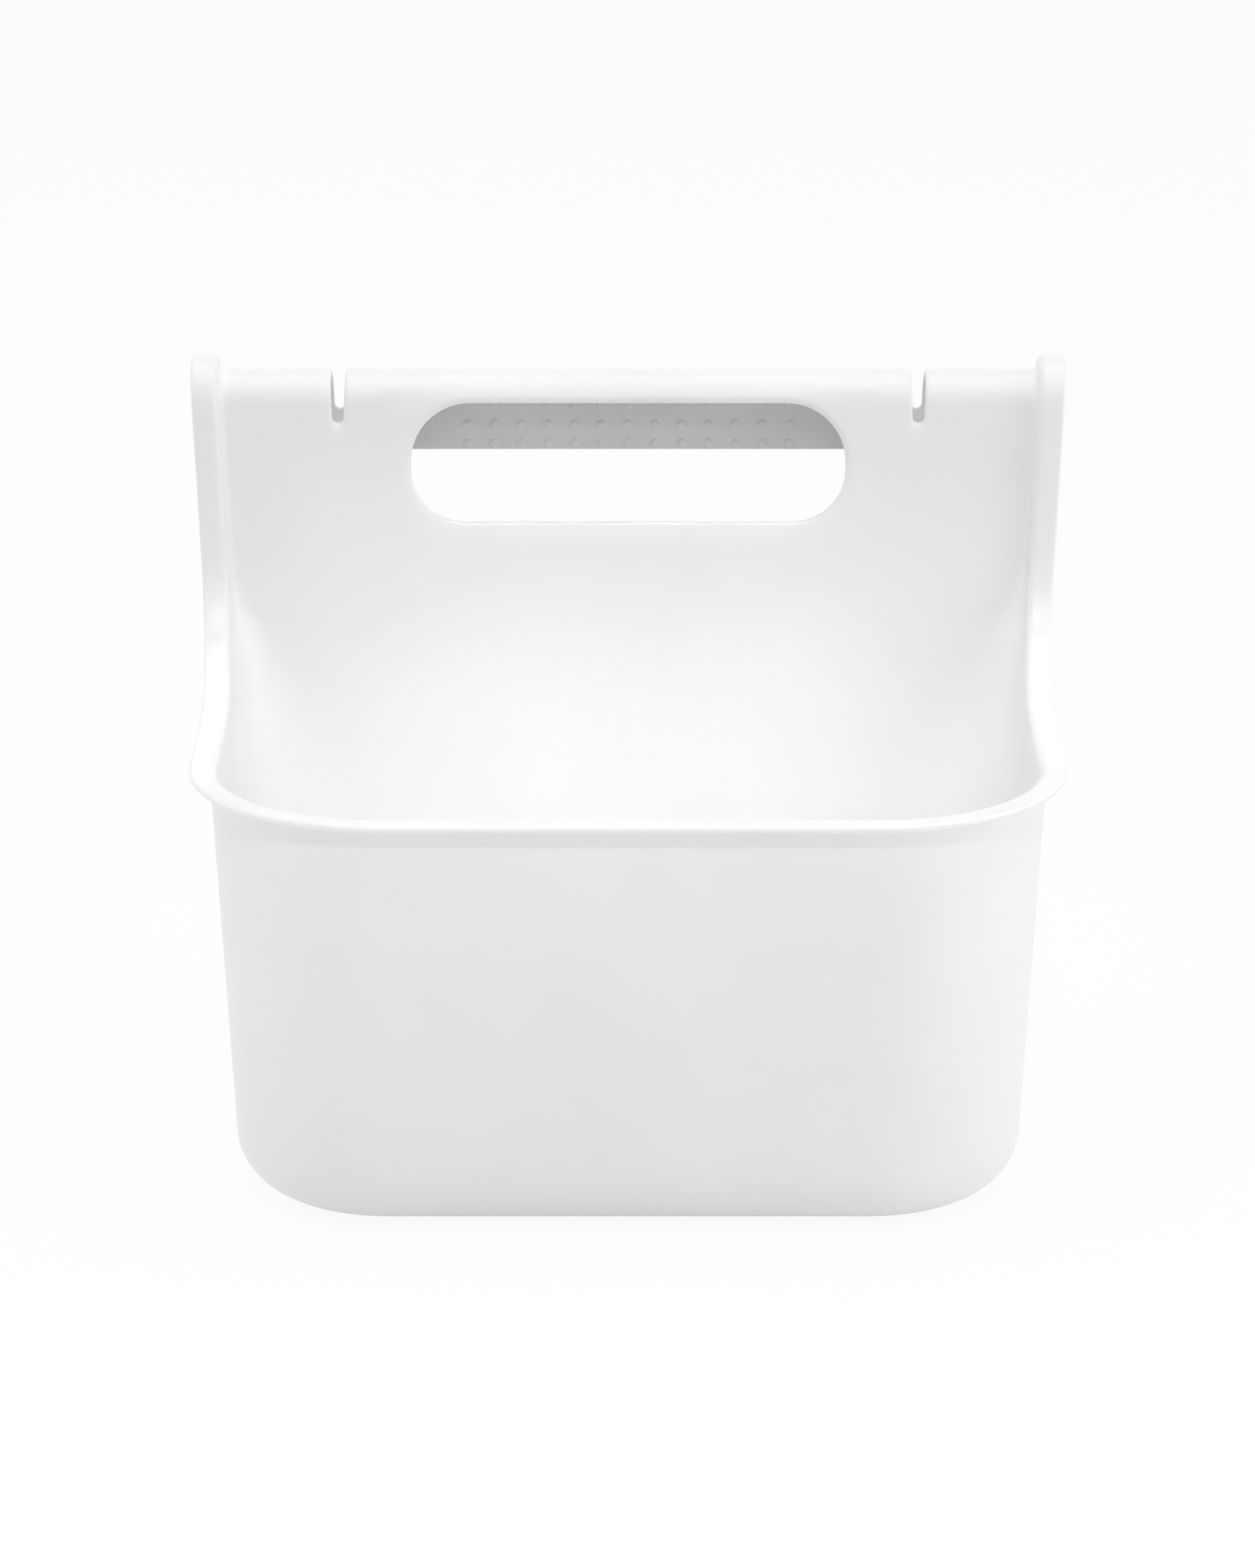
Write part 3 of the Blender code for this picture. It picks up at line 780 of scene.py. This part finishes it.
def dot_mesh():
    """The raised dots on the grip's front face, as domes that start inside it."""
    bm = bmesh.new()
    face = ROLL_RADIUS - WALL - GRIP_CLEARANCE - GRIP_THICKNESS
    levels = [(GRIP_THICKNESS / 2, DOT_RADIUS)]
    turns = [2 * pi * side / DOT_SIDES for side in range(DOT_SIDES)]
    for step in range(DOT_RINGS):
        angle = pi / 2 * (step + 1 / 2) / DOT_RINGS
        levels.append((-DOT_HEIGHT * sin(angle), DOT_RADIUS * cos(angle)))
    for row in range(DOT_ROWS):
        down = LEG_LENGTH - DOT_EDGE_MARGIN - row * DOT_ROW_PITCH
        root = offset(offset(ROLL_CENTRE, BACK_NORMAL, face), LEG_DOWN, down)
        for column in range(DOT_COLUMNS):
            x = (column - (DOT_COLUMNS - 1) / 2) * DOT_PITCH
            rings = []
            for level, radius in levels:
                middle = offset(root, BACK_NORMAL, level)
                rings.append([world(x + radius * cos(turn), *offset(middle, LEG_DOWN, radius * sin(turn)))
                              for turn in turns])
            add_loft(bm, rings)
    return bm


def make_grip(look):
    bm = bmesh.new()
    ends = (-GRIP_LENGTH / 2, GRIP_LENGTH / 2)
    add_loft(bm, [[world(x, *point) for point in grip_outline()] for x in ends])
    grip = mesh_object("soft_grip", bm)
    dots = mesh_object("grip_dots", dot_mesh())
    add_modifier(grip, "BEVEL", width=GRIP_ROUNDING, segments=GRIP_SEGMENTS, limit_method="ANGLE",
                 angle_limit=RIM_EDGE_ANGLE)
    add_modifier(grip, "BOOLEAN", operation="UNION", object=dots, solver="EXACT")
    settle(grip, look)
    bpy.data.objects.remove(dots, do_unlink=True)
    return grip


def make_foot(name, centre, look):
    top = FOOT_RECESS - FOOT_CLEARANCE
    base = top - FOOT_THICKNESS
    levels = [(base, FOOT_RADIUS - FOOT_ROUNDING)]
    for angle in even(0, pi / 2, FOOT_ROUNDING_STEPS):
        height = base + FOOT_ROUNDING * (1 - cos(angle))
        levels.append((height, FOOT_RADIUS - FOOT_ROUNDING * (1 - sin(angle))))
    levels.append((top, FOOT_RADIUS))
    bm = bmesh.new()
    add_loft(bm, disc_rings(levels, ROUND_SIDES, centre))
    return settle(mesh_object(name, bm), look)


# Materials

def new_material(name):
    made = bpy.data.materials.new(name)
    made.use_nodes = True
    tree = made.node_tree
    return made, tree, tree.nodes["Principled BSDF"]


def noise(tree, scale, detail=GRAIN_DETAIL):
    """Solid noise in the object's own metres; scale is in features per metre."""
    place = tree.nodes.new("ShaderNodeTexCoord")
    texture = tree.nodes.new("ShaderNodeTexNoise")
    texture.inputs["Scale"].default_value = scale
    texture.inputs["Detail"].default_value = detail
    tree.links.new(place.outputs["Object"], texture.inputs["Vector"])
    return texture.outputs["Fac"]


def spread(tree, source, low, high):
    """Maps the middle of a noise to the values from low to high."""
    made = tree.nodes.new("ShaderNodeMapRange")
    made.inputs["From Min"].default_value = NOISE_MIDDLE[0]
    made.inputs["From Max"].default_value = NOISE_MIDDLE[1]
    made.inputs["To Min"].default_value = low
    made.inputs["To Max"].default_value = high
    tree.links.new(source, made.inputs["Value"])
    return made.outputs["Result"]


def tint(tree, source, dark, light):
    """Blends two colours by a noise."""
    made = tree.nodes.new("ShaderNodeMix")
    made.data_type = "RGBA"
    made.inputs["A"].default_value = (*dark, 1.0)
    made.inputs["B"].default_value = (*light, 1.0)
    tree.links.new(spread(tree, source, 0.0, 1.0), made.inputs["Factor"])
    return made.outputs["Result"]


def bump(tree, layers):
    """Chains bumps, each a (source, height in metres), into one normal."""
    normal = None
    for source, height in layers:
        made = tree.nodes.new("ShaderNodeBump")
        made.inputs["Strength"].default_value = 1.0
        made.inputs["Distance"].default_value = height
        tree.links.new(source, made.inputs["Height"])
        if normal:
            tree.links.new(normal, made.inputs["Normal"])
        normal = made.outputs["Normal"]
    return normal


def moulded_plastic(name, dark, light, roughness, grain, waves):
    """Moulded plastic: slight colour drift, fine tool texture and the long waves of a cooled wall."""
    made, tree, shader = new_material(name)
    drift = noise(tree, COLOUR_DRIFT, DRIFT_DETAIL)
    fine = noise(tree, grain[0])
    tree.links.new(tint(tree, drift, dark, light), shader.inputs["Base Color"])
    tree.links.new(spread(tree, fine, *roughness), shader.inputs["Roughness"])
    layers = [(noise(tree, waves[0], WAVE_DETAIL), waves[1]), (fine, grain[1])]
    tree.links.new(bump(tree, layers), shader.inputs["Normal"])
    made.diffuse_color = (*light, 1.0)
    return made, shader


def make_materials():
    white, shader = moulded_plastic("white_polypropylene", WHITE_DARK, WHITE_LIGHT,
                                    WHITE_ROUGHNESS, WHITE_GRAIN, WHITE_WAVES)
    shader.inputs["IOR"].default_value = PLASTIC_IOR
    grey, _ = moulded_plastic("grey_soft_grip", GREY_DARK, GREY_LIGHT,
                              GREY_ROUGHNESS, GREY_GRAIN, GREY_WAVES)
    rubber, _ = moulded_plastic("grey_foot_rubber", RUBBER_DARK, RUBBER_LIGHT,
                                RUBBER_ROUGHNESS, RUBBER_GRAIN, RUBBER_WAVES)
    return white, grey, rubber


# Camera, lights and floor

def make_camera():
    data = bpy.data.cameras.new("camera")
    data.sensor_width, data.lens = VIEW_SENSOR_MM, VIEW_LENS_MM
    camera = bpy.data.objects.new("camera", data)
    bpy.context.scene.collection.objects.link(camera)
    target = Vector(VIEW_TARGET)
    camera.location = target + VIEW_DISTANCE * Vector((0, -cos(VIEW_ELEVATION), sin(VIEW_ELEVATION)))
    camera.rotation_euler = (pi / 2 - VIEW_ELEVATION, 0, 0)
    bpy.context.scene.camera = camera


def make_lamp(name, azimuth, elevation, distance, width, height, power, opening, target):
    """An area lamp aimed at the target; azimuth is from the viewer's side towards the right."""
    data = bpy.data.lights.new(name, "AREA")
    data.shape, data.size, data.size_y = "RECTANGLE", width, height
    data.energy, data.spread = power, radians(opening)
    lamp = bpy.data.objects.new(name, data)
    bpy.context.scene.collection.objects.link(lamp)
    around, up = radians(azimuth), radians(elevation)
    away = Vector((sin(around) * cos(up), -cos(around) * cos(up), sin(up)))
    lamp.location = Vector(target) + away * distance
    lamp.rotation_euler = away.to_track_quat("Z", "Y").to_euler()


def seen_share(tree):
    """1 for rays that show the background by sight, in gloss or through glass, and 0 for its light."""
    path = tree.nodes.new("ShaderNodeLightPath")
    share = path.outputs["Is Camera Ray"]
    for name in ("Is Glossy Ray", "Is Transmission Ray"):
        either = tree.nodes.new("ShaderNodeMath")
        either.operation = "MAXIMUM"
        tree.links.new(share, either.inputs[0])
        tree.links.new(path.outputs[name], either.inputs[1])
        share = either.outputs[0]
    return share


def make_world():
    world_data = bpy.data.worlds.new("studio")
    bpy.context.scene.world = world_data
    world_data.use_nodes = True
    tree = world_data.node_tree
    tree.nodes.clear()
    output = tree.nodes.new("ShaderNodeOutputWorld")
    ambient = tree.nodes.new("ShaderNodeBackground")
    ambient.inputs["Color"].default_value = (1, 1, 1, 1)
    ambient.inputs["Strength"].default_value = WORLD_LEVEL
    paper = tree.nodes.new("ShaderNodeBackground")
    paper.inputs["Color"].default_value = (1, 1, 1, 1)
    paper.inputs["Strength"].default_value = 1.0
    mix = tree.nodes.new("ShaderNodeMixShader")
    tree.links.new(seen_share(tree), mix.inputs[0])
    tree.links.new(ambient.outputs[0], mix.inputs[1])
    tree.links.new(paper.outputs[0], mix.inputs[2])
    tree.links.new(mix.outputs[0], output.inputs["Surface"])


def make_floor():
    """A white floor: paper white to the eye, with a little of the object's own shadow."""
    bm = bmesh.new()
    half = FLOOR_SIZE / 2
    corners = ((-half, -half), (half, -half), (half, half), (-half, half))
    bm.faces.new([bm.verts.new((x, y, 0)) for x, y in corners])
    floor = mesh_object("floor", bm)
    made, tree, shader = new_material("white_floor")
    shader.inputs["Base Color"].default_value = (FLOOR_GREY, FLOOR_GREY, FLOOR_GREY, 1.0)
    shader.inputs["Specular IOR Level"].default_value = 0.0
    grain = noise(tree, FLOOR_GRAIN)
    tree.links.new(spread(tree, grain, *FLOOR_ROUGHNESS), shader.inputs["Roughness"])
    output = tree.nodes["Material Output"]
    glow = tree.nodes.new("ShaderNodeEmission")
    glow.inputs["Strength"].default_value = 1.0
    share = tree.nodes.new("ShaderNodeMath")
    share.operation = "MULTIPLY"
    share.inputs[1].default_value = FLOOR_GLOW
    mix = tree.nodes.new("ShaderNodeMixShader")
    tree.links.new(seen_share(tree), share.inputs[0])
    tree.links.new(share.outputs[0], mix.inputs[0])
    tree.links.new(shader.outputs[0], mix.inputs[1])
    tree.links.new(glow.outputs[0], mix.inputs[2])
    tree.links.new(mix.outputs[0], output.inputs["Surface"])
    floor.data.materials.append(made)


def place_piece(piece, node):
    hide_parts(node)
    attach(piece, "root")


def main():
    white, grey, rubber = make_materials()
    place_piece(make_body(white), "caddy_body")
    place_piece(make_grip(grey), "handle_grip")
    for node, centre in foot_places().items():
        place_piece(make_foot(node + "_pad", centre, rubber), node)
    make_camera()
    for lamp in LAMPS:
        make_lamp(*lamp)
    make_world()
    make_floor()
    bpy.context.scene.view_settings.view_transform = "Standard"


main()
